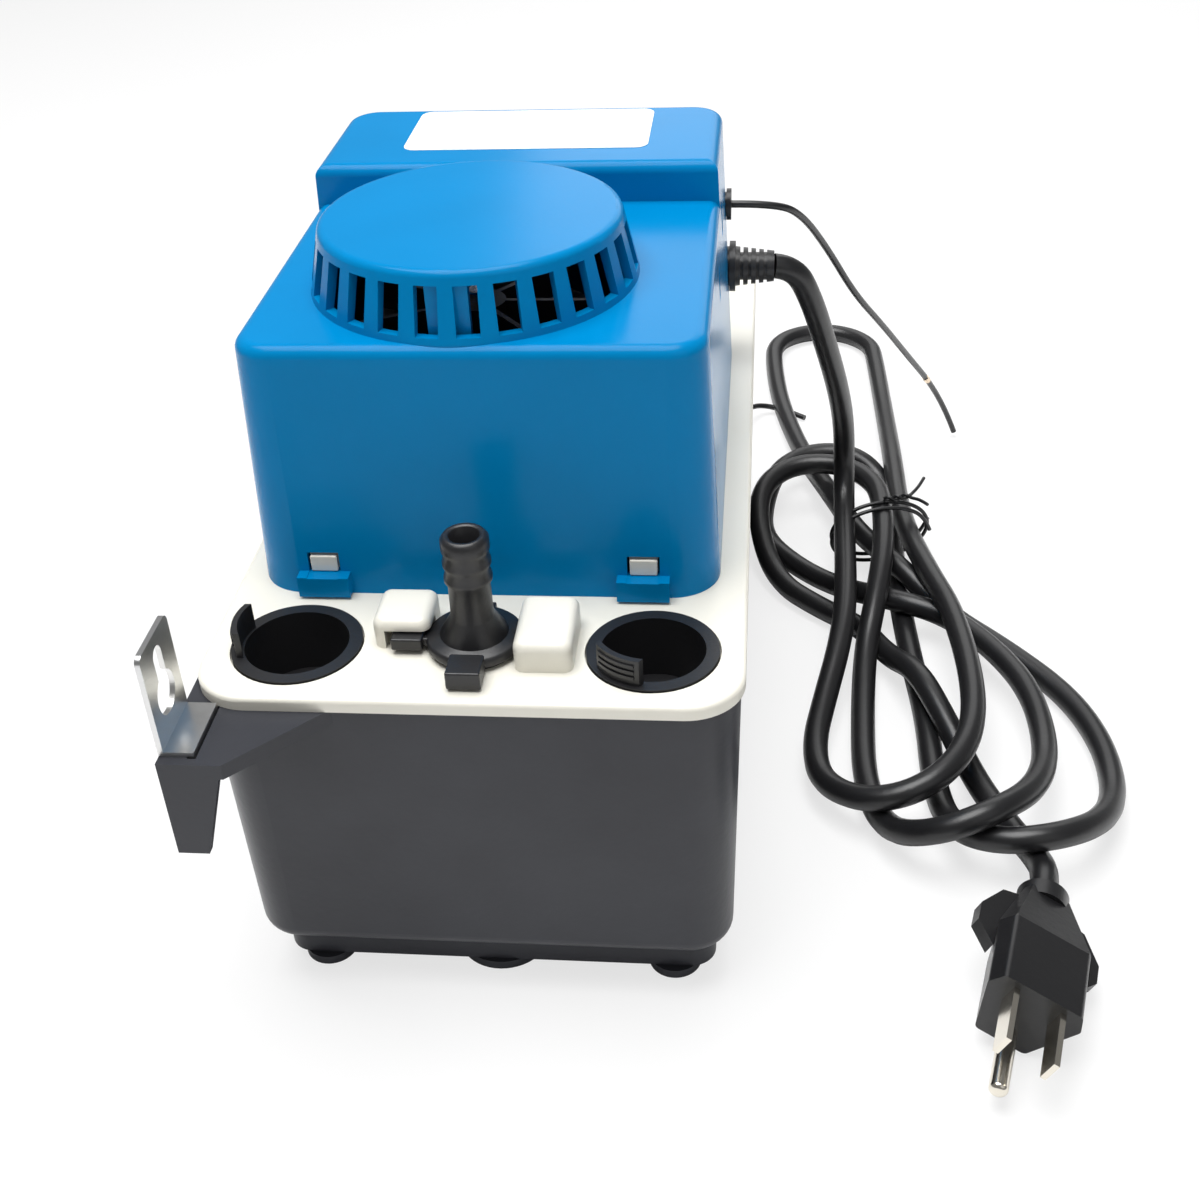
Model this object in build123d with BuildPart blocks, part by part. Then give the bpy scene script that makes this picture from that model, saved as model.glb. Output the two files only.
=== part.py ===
from build123d import *
import math
import os

os.makedirs("parts", exist_ok=True)

# The frame: millimetres, +Z up, origin on the floor under the middle of the tank.
# -Y is the end with the inlets and the discharge, -X is the side that hangs on a wall.

# ------------------------------------------------------------------ driving sizes
deck_length = 257.0
deck_width = 130.0
deck_corner = 14.0
deck_thickness = 3.5
deck_edge_round = 1.2
deck_lip_depth = 5.0
deck_lip_wall = 1.8

tank_height = 95.4
tank_wall = 2.6
tank_inset = 1.0
tank_draft = 1.2
tank_bottom_round = 5.0
skirt_inset_x = 4.5
skirt_inset_y = 8.0
skirt_height = 11.6
foot_height = 3.4
foot_radius = 7.0
foot_edge_gap_x = 18.0
foot_edge_gap_y = 15.5
foot_chamfer = 0.8
boss_radius = 12.5
sump_radius = 24.0

cover_x = -0.6
cover_side_gap = 6.5
cover_front_gap = 43.5
cover_back_gap = 65.8
cover_corner = 12.0
cover_draft = 2.3
cover_wall = 2.4
cover_height = 66.2
cover_edge_round = 3.0
block_length = 53.2
block_rise = 10.7
side_slot_width = 5.0
side_slot_height = 9.0
side_slots = ((21.0, 56.5), (-10.0, 50.5))

motor_x = -4.0
motor_front_gap = 45.0
dome_base_radius = 41.0
dome_top_radius = 37.2
dome_height = 16.5
dome_wall = 2.2
dome_edge_round = 2.0
vent_count = 26
vent_width = 5.6
vent_base_gap = 1.6
vent_height = 11.6
vent_pillar_width = 10.0

latch_edge_gap = 18.5
latch_window_width = 8.0
latch_window_height = 5.5
latch_window_base = 6.2
latch_tab_thickness = 1.6
latch_block_width = 13.0
latch_block_height = 5.6
latch_block_depth = 3.2
latch_block_base = 0.8

inlet_side_gap = 22.0
inlet_end_gap = 21.5
inlet_bore_radius = 14.4
inlet_rim_radius = 16.2
inlet_rim_depth = 2.0
plug_clearance = 0.4
plug_cup_depth = 17.0
plug_cup_radius = 12.6
plug_floor = 2.0
plug_rim_proud = 0.5
pull_tab_radius = 14.6
pull_tab_thickness = 1.4
pull_tab_width = 12.5
pull_tab_height = 7.0
pull_tab_ribs = 3

valve_x = 0.5
valve_set_back = 1.0
valve_stem_radius = 10.0
valve_stem_length = 17.0
valve_fit = 0.08
valve_wing_rise = 1.5
valve_wing_reach = 20.5
valve_wing_width = 10.0
valve_wing_thickness = 3.0
valve_cone_height = 9.0
handle_reach = 25.0
handle_arm_width = 6.0
handle_block_width = 11.0
handle_block_depth = 6.0
handle_block_height = 6.2
barb_radius = 5.3
barb_ridge = 0.6
barb_rise = 31.5
barb_bore_radius = 3.6
barb_pitch = 4.4
barb_land = 2.5
barb_chamfer = 1.2
ball_radius = 5.4
ball_chamber_radius = 6.6
ball_seat_radius = 4.2
ball_gap = 0.3
ball_travel = 3.0
lug_inner_x = 10.4
lug_outer_x = 24.4
lug_roof = 3.0
lug_wall = 3.0
lug_round = 2.6
lug_spans = {"left": (-2.0, 13.0), "right": (-10.4, 11.0)}
wing_clearance = 0.5

shaft_radius = 3.0
shaft_foot_gap = 2.0
shaft_rise = 62.5
shaft_fit = 0.05
stator_width = 74.0
stator_rise = 13.5
stator_stack = 22.0
stator_bore = 16.0
pole_shoe = 3.0
pole_gap = 3.0
air_gap = 0.4
pole_count = 4
pole_width = 12.0
coil_side = 4.0
coil_gap = 0.3
rotor_end_gap = 1.0
yoke_width = 8.0
bridge_thickness = 2.4
bridge_width = 12.0
bearing_radius = 7.0
bearing_height = 8.0
motor_post_radius = 4.5
motor_screw_radius = 2.0
motor_screw_spacing = 62.0
motor_screw_depth = 9.0
fan_radius = 32.0
fan_hub_radius = 7.0
fan_rise = 50.5
fan_blade_height = 9.0
fan_blades = 7
slinger_radius = 9.0

volute_floor = 15.4
volute_height = 16.0
volute_wall = 2.2
scroll_radius = 25.0
scroll_step = 2.0
outlet_radius = 4.8
impeller_radius = 20.0
impeller_blades = 6
impeller_gap = 0.8
eye_radius = 8.0
column_radius = 3.6
column_spread = 20.0
pump_screw_radius = 1.4

float_length = 62.0
float_width = 66.0
float_depth = 26.0
float_corner = 8.0
float_end_gap = 55.5
float_top = 51.4
pivot_y = 30.0
pivot_drop = 12.0
pivot_radius = 2.0
arm_width = 6.0
arm_finger_rise = 20.5
arm_slot_length = 22.0
lever_pivot_rise = 44.5
lever_length = 30.0
lever_thickness = 1.0
lever_gap = 0.3
switch_spacing = 14.0
switch_width = 10.0
switch_height = 16.0
switch_length = 20.0

ear_top_reach = 20.6
ear_thickness = 4.0
ear_drop = 27.0
ear_width = 15.0
ear_side_gap = 0.6
ear_depth = 12.0
bracket_thickness = 1.3
bracket_height = 27.0
bracket_width = 18.0
ear_plate = 2.2
bracket_flange = 7.0
bracket_leg = 13.0
bracket_gap = 0.4
keyhole_radius = 5.2
keyhole_slot_radius = 2.4
keyhole_rise = 10.0
keyhole_height = 11.5

cord_radius = 3.8
cord_exit_y = 52.0
cord_exit_rise = 29.5
relief_length = 14.0
relief_inside = 6.0
relief_flange_radius = 7.6
relief_body_radius = 6.0
relief_gap = 0.3
relief_grooves = 4
lead_radius = 1.1
lead_exit_y = 50.0
lead_exit_rise = 50.0
bushing_radius = 3.6
short_exit_x = 44.0
short_exit_rise = 42.5

# The cord's hank: the heading, length and half width of each lobe, seen from above.
tie_side_gap = 57.0
tie_y = 91.4
tie_thickness = 1.2
hank_height = 16.0
hank_floor_gap = 0.1
hank_waist_radius = 11.0
hank_front_y = -69.6
hank_lobes = ((-99.5, 137.0, 26.0), (97.0, 193.0, 24.0), (-88.0, 160.0, 27.0),
              (163.0, 60.0, 25.0), (-80.2, 163.0, 27.0), (180.0, 58.0, 30.0))

# Steps of each cord's route: across, along, and the share of its exit's height.
run_steps = ((8.5, 0, 1), (17.1, 2.4, 0.927), (21.6, 11.2, 0.788), (25.1, 24.7, 0.62),
             (28.6, 39.2, 0.445), (31.6, 50.7, 0.27), (33.4, 53.7, 0.095))
long_lead_steps = ((13.4, 0, 1), (21.4, 9.6, 0.952), (30.4, 28.5, 0.825), (40.4, 43.2, 0.679),
                   (52.4, 65, 0.533), (64.4, 91.6, 0.368), (76.4, 116.2, 0.21),
                   (85.4, 127.1, 0.083), (89.4, 128.5, 0.0152))
short_lead_steps = ((0, 10, 1), (1, 24.9, 0.993), (3, 50.3, 0.92), (5, 74.8, 0.747),
                    (7, 87.8, 0.507), (10, 98.7, 0.267), (15, 121, 0.067), (26, 142.5, 0.016),
                    (42, 130.5, 0.0093))

plug_side_gap = 78.8
plug_y = -98.6
plug_z = 13.7
plug_heading = -104.0
plug_turn = 25.0
plug_lead_in = 8.0
plug_length = 42.0
plug_collar_radius = 6.8
plug_collar_length = 5.0
plug_face = ((-10.5, 9.6), (10.5, 9.6), (12.8, 4.8), (7.0, -11.4), (-7.0, -11.4), (-12.8, 4.8))
plug_neck_share = 0.5
plug_shoulder = 0.5
plug_round = 1.6
wing_outline = ((5.0, 5.0), (12.0, 7.0), (17.0, 15.0), (17.0, 21.0), (12.0, 27.0))
wing_thickness = 4.0
blade_length = 16.0
blade_width = 6.3
blade_thickness = 1.5
blade_spacing = 12.7
blade_y = 4.6
pin_radius = 2.4
pin_length = 19.0
pin_drop = 11.9

# ------------------------------------------------------------------ worked out places
deck_top = tank_height + deck_thickness
cover_width = deck_width - 2 * cover_side_gap
cover_front_y = cover_front_gap - deck_length / 2
cover_back_y = deck_length / 2 - cover_back_gap
block_front_y = cover_back_y - block_length
motor_y = cover_front_y + motor_front_gap
latch_x = cover_width / 2 - latch_edge_gap
inlet_x = deck_width / 2 - inlet_side_gap
inlet_y = inlet_end_gap - deck_length / 2
valve_y = inlet_y + valve_set_back
foot_spread_x = deck_width - 2 * foot_edge_gap_x
foot_spread_y = deck_length - 2 * foot_edge_gap_y
barb_top = deck_top + barb_rise
stator_base = deck_top + stator_rise
fan_base = deck_top + fan_rise
shaft_bottom = volute_floor + shaft_foot_gap
shaft_top = deck_top + shaft_rise
pivot_z = tank_height - pivot_drop
arm_finger_top = deck_top + arm_finger_rise
lever_pivot_z = deck_top + lever_pivot_rise
ear_side_x = -deck_width / 2 - ear_side_gap
cord_exit_z = deck_top + cord_exit_rise
lead_exit_z = deck_top + lead_exit_rise
short_exit_z = deck_top + short_exit_rise
tank_length = deck_length - 2 * tank_inset
tank_width = deck_width - 2 * tank_inset
tank_corner = deck_corner - tank_inset
float_y = tank_length / 2 - float_end_gap
wall_height = tank_height - foot_height - skirt_height
draft_run = wall_height * math.tan(math.radians(tank_draft))
cover_length = cover_back_y - cover_front_y
cover_y = (cover_back_y + cover_front_y) / 2
cover_top = deck_top + cover_height
block_top = cover_top + block_rise
dome_top = cover_top + dome_height
stator_top = stator_base + stator_stack
lower_bridge_z = stator_base - bridge_thickness
post_top = lower_bridge_z


def level(x, y, z):
    """A level plane at a point."""
    return Plane((x, y, z))


def save(piece, name):
    """Label a finished piece and write its STEP file."""
    piece.part.label = name
    export_step(piece.part, f"parts/{name}.step")
    return piece.part


# ------------------------------------------------------------------ tank
# The tank drafts outwards to its mouth, has a recessed skirt under it and two hanging
# ears on its wall side.
skirt_top = foot_height + skirt_height
bottom_length = tank_length - 2 * draft_run
bottom_width = tank_width - 2 * draft_run
ear_y = tank_length / 2 + ear_top_reach
slot_x = ear_side_x + bracket_thickness + bracket_flange

with BuildPart() as tank:
    with BuildSketch(Plane.XY.offset(skirt_top)):
        RectangleRounded(bottom_width, bottom_length, tank_corner - draft_run)
    extrude(amount=wall_height, taper=-tank_draft)
    fillet(tank.faces().sort_by(Axis.Z)[0].edges(), tank_bottom_round)
    with BuildSketch(Plane.XY.offset(foot_height)):
        RectangleRounded(bottom_width - 2 * skirt_inset_x, bottom_length - 2 * skirt_inset_y, tank_corner / 2)
    extrude(amount=skirt_height + tank_wall)
    # Each ear is a flat web with a hollow wedge that hangs from its outer corner.
    for side in (-1, 1):
        with BuildSketch(Plane.XY.offset(tank_height)):
            with BuildLine():
                Polyline((ear_side_x, side * (tank_length / 2 - tank_corner)), (ear_side_x, side * ear_y),
                         (ear_side_x + ear_width, side * ear_y),
                         (ear_side_x + 2.4 * ear_width, side * (tank_length / 2 - 1)),
                         (ear_side_x + tank_wall, side * (tank_length / 2 - tank_corner)), close=True)
            make_face()
        extrude(amount=-ear_thickness)
        with BuildSketch(Plane.XZ.offset(-side * ear_y)):
            with BuildLine():
                Polyline((ear_side_x, tank_height), (ear_side_x + ear_width, tank_height),
                         (ear_side_x + ear_width / 2, tank_height - ear_drop),
                         (ear_side_x + 1, tank_height - ear_drop), close=True)
            make_face()
        extrude(amount=side * ear_plate)
        with BuildSketch(Plane.YZ.offset(ear_side_x)):
            with BuildLine():
                Polyline((side * ear_y, tank_height), (side * (ear_y - ear_depth), tank_height),
                         (side * (ear_y - ear_depth / 3), tank_height - ear_drop),
                         (side * ear_y, tank_height - ear_drop), close=True)
            make_face()
        extrude(amount=ear_plate)
        with BuildSketch(Plane.XY.offset(tank_height)):
            with Locations((slot_x - bracket_thickness / 2, side * (ear_y - ear_plate - bracket_gap - bracket_width / 2))):
                Rectangle(bracket_thickness + 2 * bracket_gap, bracket_width + 2 * bracket_gap)
        extrude(amount=-ear_thickness - 1, mode=Mode.SUBTRACT)
    # The inside follows the outside, down into the skirt.
    with BuildSketch(Plane.XY.offset(skirt_top + tank_wall)):
        RectangleRounded(bottom_width - 2 * tank_wall, bottom_length - 2 * tank_wall,
                         tank_corner - draft_run - tank_wall)
    extrude(amount=wall_height, taper=-tank_draft, mode=Mode.SUBTRACT)
    with BuildSketch(Plane.XY.offset(foot_height + tank_wall)):
        RectangleRounded(bottom_width - 2 * (skirt_inset_x + tank_wall),
                         bottom_length - 2 * (skirt_inset_y + tank_wall), tank_corner / 4)
    extrude(amount=skirt_height + tank_wall, mode=Mode.SUBTRACT)
save(tank, "tank")

# Round feet and bosses stand under the tank's skirt.
with BuildPart() as tank_feet:
    with BuildSketch(Plane.XY.offset(foot_height)):
        with GridLocations(foot_spread_x, foot_spread_y, 2, 2):
            Circle(foot_radius)
        with GridLocations(0, foot_spread_y - boss_radius, 1, 2):
            Circle(boss_radius)
        Circle(sump_radius)
    extrude(amount=-foot_height)
    chamfer(tank_feet.faces().group_by(Axis.Z)[0].edges(), foot_chamfer)
save(tank_feet, "tank_feet")


# ------------------------------------------------------------------ deck
# The lid of the tank: a plate with a lip inside the tank's mouth, stepped inlet bores,
# the socket and bayonet lugs of the discharge valve, latch tabs and motor posts.
plug_places = {"left": (-inlet_x, inlet_y), "right": (inlet_x, inlet_y), "rear": (-inlet_x, -inlet_y)}
motor_posts = GridLocations(motor_screw_spacing, motor_screw_spacing, 2, 2)
valve_hole_radius = valve_stem_radius + valve_fit
wing_base = deck_top + valve_wing_rise
wing_room = valve_wing_width / 2 + wing_clearance
lug_height = wing_base - deck_top + valve_wing_thickness + wing_clearance + lug_roof
tab_front_y = cover_front_y + cover_wall + 0.6
tab_height = latch_window_base + latch_window_height - 0.8

with BuildPart() as deck:
    with BuildSketch(Plane.XY.offset(tank_height)):
        RectangleRounded(deck_width, deck_length, deck_corner)
    extrude(amount=deck_thickness)
    fillet(deck.faces().sort_by(Axis.Z)[-1].edges(), deck_edge_round)
    with BuildSketch(Plane.XY.offset(tank_height)):
        lip_gap = 0.4 + tank_wall
        RectangleRounded(tank_width - 2 * lip_gap, tank_length - 2 * lip_gap, tank_corner - lip_gap)
        offset(amount=-deck_lip_wall, mode=Mode.SUBTRACT)
    extrude(amount=-deck_lip_depth)
    # Two rounded lugs hold the valve's wings from above; each is closed where its wing stops.
    for side, (low_y, high_y) in ((-1, lug_spans["left"]), (1, lug_spans["right"])):
        with BuildSketch(Plane.XY.offset(deck_top)):
            with Locations((valve_x + side * (lug_inner_x + lug_outer_x) / 2, valve_y + (low_y + high_y) / 2)):
                RectangleRounded(lug_outer_x - lug_inner_x, high_y - low_y, lug_round)
        extrude(amount=lug_height)
    fillet(deck.faces().group_by(Axis.Z)[-1].edges(), lug_round - 0.2)
    for side, (low_y, high_y) in ((-1, lug_spans["left"]), (1, lug_spans["right"])):
        open_y = low_y - 1 if side < 0 else high_y + 1
        with BuildSketch(Plane.XY.offset(deck_top)):
            with Locations((valve_x + side * (lug_inner_x + lug_outer_x) / 2 - side * lug_wall,
                            valve_y + (open_y - side * wing_room) / 2)):
                Rectangle(lug_outer_x - lug_inner_x, abs(open_y + side * wing_room))
        extrude(amount=lug_height - lug_roof, mode=Mode.SUBTRACT)
    # The valve's socket hangs under the deck.
    with BuildSketch(Plane.XY.offset(tank_height)):
        with Locations((valve_x, valve_y)):
            Circle(valve_hole_radius + 2.5)
    extrude(amount=-valve_stem_length - 2)
    with Locations((valve_x, valve_y, deck_top)):
        Hole(valve_hole_radius)
    with Locations([(x, y, deck_top) for x, y in plug_places.values()]):
        CounterBoreHole(inlet_bore_radius, inlet_rim_radius, inlet_rim_depth)
    # Latch tabs stand behind the windows of the motor cover.
    for side in (-1, 1):
        with BuildSketch(Plane.XY.offset(deck_top)):
            with Locations((cover_x + side * latch_x, tab_front_y + latch_tab_thickness / 2)):
                Rectangle(latch_window_width - 1, latch_tab_thickness)
        extrude(amount=tab_height)
        with BuildSketch(Plane.XY.offset(deck_top + latch_window_base + 0.5)):
            with Locations((cover_x + side * latch_x, tab_front_y - 0.6)):
                Rectangle(latch_window_width - 1, 1.4)
        extrude(amount=latch_window_height - 1.3)
    with BuildSketch(level(motor_x, motor_y, deck_top)):
        with motor_posts:
            Circle(motor_post_radius)
    extrude(amount=post_top - deck_top)
    with BuildSketch(level(motor_x, motor_y, post_top)):
        with motor_posts:
            Circle(motor_screw_radius + shaft_fit)
    extrude(amount=-motor_screw_depth - 1, mode=Mode.SUBTRACT)
    with Locations((motor_x, motor_y, deck_top)):
        Hole(shaft_radius + 2)
    # The float's finger comes up through a slot, and its pivot hangs from two cheeks.
    with BuildSketch(level(0, pivot_y - 5, deck_top)):
        Rectangle(arm_width + 4, arm_slot_length)
    extrude(amount=-deck_thickness, mode=Mode.SUBTRACT)
    for side in (-1, 1):
        with BuildSketch(Plane.YZ.offset(side * (arm_width / 2 + 1.0))):
            with Locations((pivot_y, (tank_height + pivot_z - 5) / 2)):
                Rectangle(10, tank_height - pivot_z + 5)
        extrude(amount=side * 2.5)
    with Locations(Plane.YZ.offset(20)):
        with Locations((pivot_y, pivot_z)):
            Hole(pivot_radius + shaft_fit)
save(deck, "deck")


# ------------------------------------------------------------------ inlet plugs
def inlet_plug(name, x, y, turn):
    """A cup plug with a curved pull tab, seated in the step of an inlet bore."""
    seat = Plane((x, y, deck_top - inlet_rim_depth), x_dir=Vector(1, 0, 0).rotate(Axis.Z, turn))
    rim_height = inlet_rim_depth + plug_rim_proud
    with BuildPart() as plug:
        with BuildSketch(seat):
            Circle(inlet_rim_radius - plug_clearance)
        extrude(amount=rim_height)
        with BuildSketch(seat):
            Circle(inlet_bore_radius - plug_clearance)
        extrude(amount=rim_height - plug_cup_depth - plug_floor)
        fillet(plug.edges().sort_by(Axis.Z)[0], 1.2)
        with BuildSketch(seat.offset(rim_height)):
            Circle(plug_cup_radius)
        extrude(amount=-plug_cup_depth, mode=Mode.SUBTRACT)
        with BuildSketch(seat.offset(rim_height)):
            Circle(pull_tab_radius)
            Circle(pull_tab_radius - pull_tab_thickness, mode=Mode.SUBTRACT)
            with Locations((pull_tab_radius, 0)):
                Rectangle(pull_tab_radius, pull_tab_width, mode=Mode.INTERSECT)
        extrude(amount=pull_tab_height)
        for rib in range(pull_tab_ribs):
            with BuildSketch(seat.offset(rim_height + pull_tab_height - 1.2 - 1.6 * rib)):
                Circle(pull_tab_radius + 0.4)
                Circle(pull_tab_radius - 0.2, mode=Mode.SUBTRACT)
                with Locations((pull_tab_radius, 0)):
                    Rectangle(pull_tab_radius, pull_tab_width - 2, mode=Mode.INTERSECT)
            extrude(amount=-0.8)
    return save(plug, name)


for place, turn in (("left", 182), ("right", 236), ("rear", 56)):
    inlet_plug(f"inlet_plug_{place}", *plug_places[place], turn)

# ------------------------------------------------------------------ discharge check valve
with BuildPart() as check_valve_body:
    with BuildSketch(level(valve_x, valve_y, deck_top + 0.2)):
        Circle(valve_stem_radius)
    extrude(amount=-valve_stem_length)
    with BuildSketch(level(valve_x, valve_y, wing_base)):
        Circle(valve_stem_radius)
        Rectangle(2 * valve_wing_reach, valve_wing_width)
        Circle(valve_wing_reach, mode=Mode.INTERSECT)
    extrude(amount=valve_wing_thickness)
    # A narrow arm at the front ends in a finger block.
    with BuildSketch(level(valve_x, valve_y, wing_base)):
        with Locations((0, -(handle_reach - handle_block_depth) / 2)):
            Rectangle(handle_arm_width, handle_reach - handle_block_depth)
    extrude(amount=valve_wing_thickness)
    with BuildSketch(level(valve_x, valve_y, wing_base - 0.5)):
        with Locations((0, -handle_reach + handle_block_depth / 2)):
            RectangleRounded(handle_block_width, handle_block_depth, 1)
    extrude(amount=handle_block_height)
    chamfer(check_valve_body.faces().sort_by(Axis.Z)[-1].edges(), 0.8)
    with BuildSketch(level(valve_x, valve_y, deck_top + 0.2)):
        Circle(valve_stem_radius)
    extrude(amount=wing_base - deck_top)
    with BuildSketch(level(valve_x, valve_y, wing_base + valve_wing_thickness)):
        Circle(valve_stem_radius)
    with BuildSketch(level(valve_x, valve_y, wing_base + valve_wing_thickness + valve_cone_height)):
        Circle(barb_radius)
    loft()
    # The hose tail has two shallow ridges, and a plain land under its chamfered end.
    barb_base = wing_base + valve_wing_thickness + valve_cone_height
    with BuildSketch(Plane.XZ.offset(-valve_y)):
        with BuildLine():
            points = [(valve_x, barb_base), (valve_x + barb_radius, barb_base)]
            for ridge in range(2):
                ridge_z = barb_top - barb_chamfer - barb_land - barb_pitch * (2 - ridge)
                points += [(valve_x + barb_radius, ridge_z), (valve_x + barb_radius + barb_ridge, ridge_z + 0.2),
                           (valve_x + barb_radius, ridge_z + barb_pitch / 2)]
            land_z = barb_top - barb_chamfer - barb_land
            points += [(valve_x + barb_radius, land_z - 0.2), (valve_x + barb_radius + barb_ridge, land_z),
                       (valve_x + barb_radius + barb_ridge, barb_top - barb_chamfer),
                       (valve_x + barb_radius - barb_chamfer / 2, barb_top), (valve_x, barb_top)]
            Polyline(points, close=True)
        make_face()
    revolve(axis=Axis((valve_x, valve_y, 0), (0, 0, 1)))
    # Bore, ball chamber and seat.
    stem_bottom = deck_top + 0.2 - valve_stem_length
    chamber_base = stem_bottom + 3
    chamber_top = chamber_base + 2 * ball_radius + ball_travel + 3
    with Locations((valve_x, valve_y, barb_top)):
        Hole(barb_bore_radius)
    with BuildSketch(level(valve_x, valve_y, chamber_base)):
        Circle(ball_chamber_radius)
    extrude(amount=chamber_top - chamber_base, mode=Mode.SUBTRACT)
    with BuildSketch(level(valve_x, valve_y, stem_bottom)):
        Circle(ball_seat_radius)
    extrude(amount=chamber_base - stem_bottom, mode=Mode.SUBTRACT)
    # Groove for the seal.
    with BuildSketch(level(valve_x, valve_y, tank_height - 6)):
        Circle(valve_stem_radius + 1)
        Circle(valve_stem_radius - 1.9, mode=Mode.SUBTRACT)
    extrude(amount=2.4, mode=Mode.SUBTRACT)
save(check_valve_body, "check_valve_body")

with BuildPart() as check_valve_seal:
    with Locations((valve_x, valve_y, tank_height - 4.8)):
        Torus(valve_stem_radius - 0.98, 0.85)
save(check_valve_seal, "check_valve_seal")

with BuildPart() as check_valve_ball:
    seat_rise = math.sqrt(ball_radius ** 2 - ball_seat_radius ** 2)
    with Locations((valve_x, valve_y, chamber_base + seat_rise + ball_gap)):
        Sphere(ball_radius)
save(check_valve_ball, "check_valve_ball")

# ------------------------------------------------------------------ motor cover
# A drafted shell with a raised block at its back and a slotted dome over the fan.


def cover_shape(inset, lift):
    """The outer form of the cover, or the room inside it, set in by a wall."""
    with BuildPart() as shape:
        with BuildSketch(level(cover_x, cover_y, deck_top)):
            RectangleRounded(cover_width - 2 * inset, cover_length - 2 * inset, cover_corner - inset)
        extrude(amount=block_top - deck_top - lift, taper=cover_draft)
        with BuildSketch(Plane.XY.offset(cover_top - lift)):
            with Locations((cover_x, block_front_y + inset - cover_length / 2)):
                Rectangle(2 * cover_width, cover_length)
        extrude(amount=2 * block_rise, mode=Mode.SUBTRACT)
        if inset == 0:
            rims = shape.edges().filter_by_position(Axis.Z, cover_top - 0.01, block_top + 0.01)
            rims = rims.filter_by(lambda edge: abs(edge.center().Z - cover_top) < 0.1
                                  or abs(edge.center().Z - block_top) < 0.1)
            rims = rims.filter_by(lambda edge: not (abs(edge.center().Z - cover_top) < 0.1
                                                    and abs(edge.center().Y - block_front_y) < 0.1))
            fillet(rims, cover_edge_round)
    return shape.part


cover_outside = cover_shape(0, 0)
cover_room = cover_shape(cover_wall, cover_wall)
vent_pitch = 360 / vent_count

with BuildPart() as motor_cover:
    add(cover_outside)
    # Dome: a drafted ring of bars under a flat cap.
    with BuildSketch(Plane.XZ.offset(-motor_y)):
        with BuildLine():
            Polyline((motor_x, cover_top - 1), (motor_x + dome_base_radius, cover_top - 1),
                     (motor_x + dome_base_radius, cover_top), (motor_x + dome_top_radius, dome_top),
                     (motor_x, dome_top), close=True)
        make_face()
    revolve(axis=Axis((motor_x, motor_y, 0), (0, 0, 1)))
    fillet(motor_cover.faces().sort_by(Axis.Z)[-1].edges(), dome_edge_round)
    add(cover_room, mode=Mode.SUBTRACT)
    with BuildSketch(Plane.XZ.offset(-motor_y)):
        with BuildLine():
            Polyline((motor_x, cover_top - 2 * cover_wall),
                     (motor_x + dome_base_radius - dome_wall, cover_top - 2 * cover_wall),
                     (motor_x + dome_base_radius - dome_wall, cover_top),
                     (motor_x + dome_top_radius - dome_wall, dome_top - dome_wall),
                     (motor_x, dome_top - dome_wall), close=True)
        make_face()
    revolve(axis=Axis((motor_x, motor_y, 0), (0, 0, 1)), mode=Mode.SUBTRACT)
    with Locations((motor_x, motor_y, cover_top + vent_base_gap + vent_height / 2)):
        with PolarLocations(dome_base_radius - 2, vent_count, start_angle=-90 + vent_pitch / 2):
            Box(14, vent_width, vent_height, mode=Mode.SUBTRACT)
    # A plain pillar closes the ring at its front.
    with BuildSketch(Plane.XZ.offset(-motor_y + dome_top_radius - dome_wall)):
        with BuildLine():
            Polyline((motor_x - vent_pillar_width / 2, cover_top - 1),
                     (motor_x + vent_pillar_width / 2, cover_top - 1),
                     (motor_x + vent_pillar_width / 2, dome_top - dome_wall),
                     (motor_x - vent_pillar_width / 2, dome_top - dome_wall), close=True)
        make_face()
    extrude(amount=dome_wall)
    # Latch windows in the front wall, each over a block that stands out of it.
    for side in (-1, 1):
        with BuildSketch(Plane.XZ.offset(-cover_front_y - 6)):
            with Locations((cover_x + side * latch_x, deck_top + latch_block_base + latch_block_height / 2)):
                Rectangle(latch_block_width, latch_block_height)
        extrude(amount=6 + latch_block_depth)
        with BuildSketch(Plane.XZ.offset(-cover_front_y - 6)):
            with Locations((cover_x + side * latch_x,
                            deck_top + latch_window_base + latch_window_height / 2)):
                Rectangle(latch_window_width, latch_window_height)
        extrude(amount=6 + latch_block_depth, mode=Mode.SUBTRACT)
    add(cover_room, mode=Mode.SUBTRACT)
    # Holes for the power cord and for the leads of the safety switch, and two side slots.
    with BuildSketch(Plane.YZ.offset(cover_x)):
        with Locations((cord_exit_y, cord_exit_z)):
            Circle(relief_body_radius + relief_gap)
        with Locations((lead_exit_y, lead_exit_z)):
            Circle(bushing_radius + relief_gap)
        with Locations([(slot_y, deck_top + rise) for slot_y, rise in side_slots]):
            RectangleRounded(side_slot_width, side_slot_height, 1)
    extrude(amount=cover_width, mode=Mode.SUBTRACT)
    with BuildSketch(Plane.XZ.offset(-cover_y)):
        with Locations((short_exit_x, short_exit_z)):
            Circle(bushing_radius + relief_gap)
    extrude(amount=-cover_length, mode=Mode.SUBTRACT)
save(motor_cover, "motor_cover")

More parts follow.
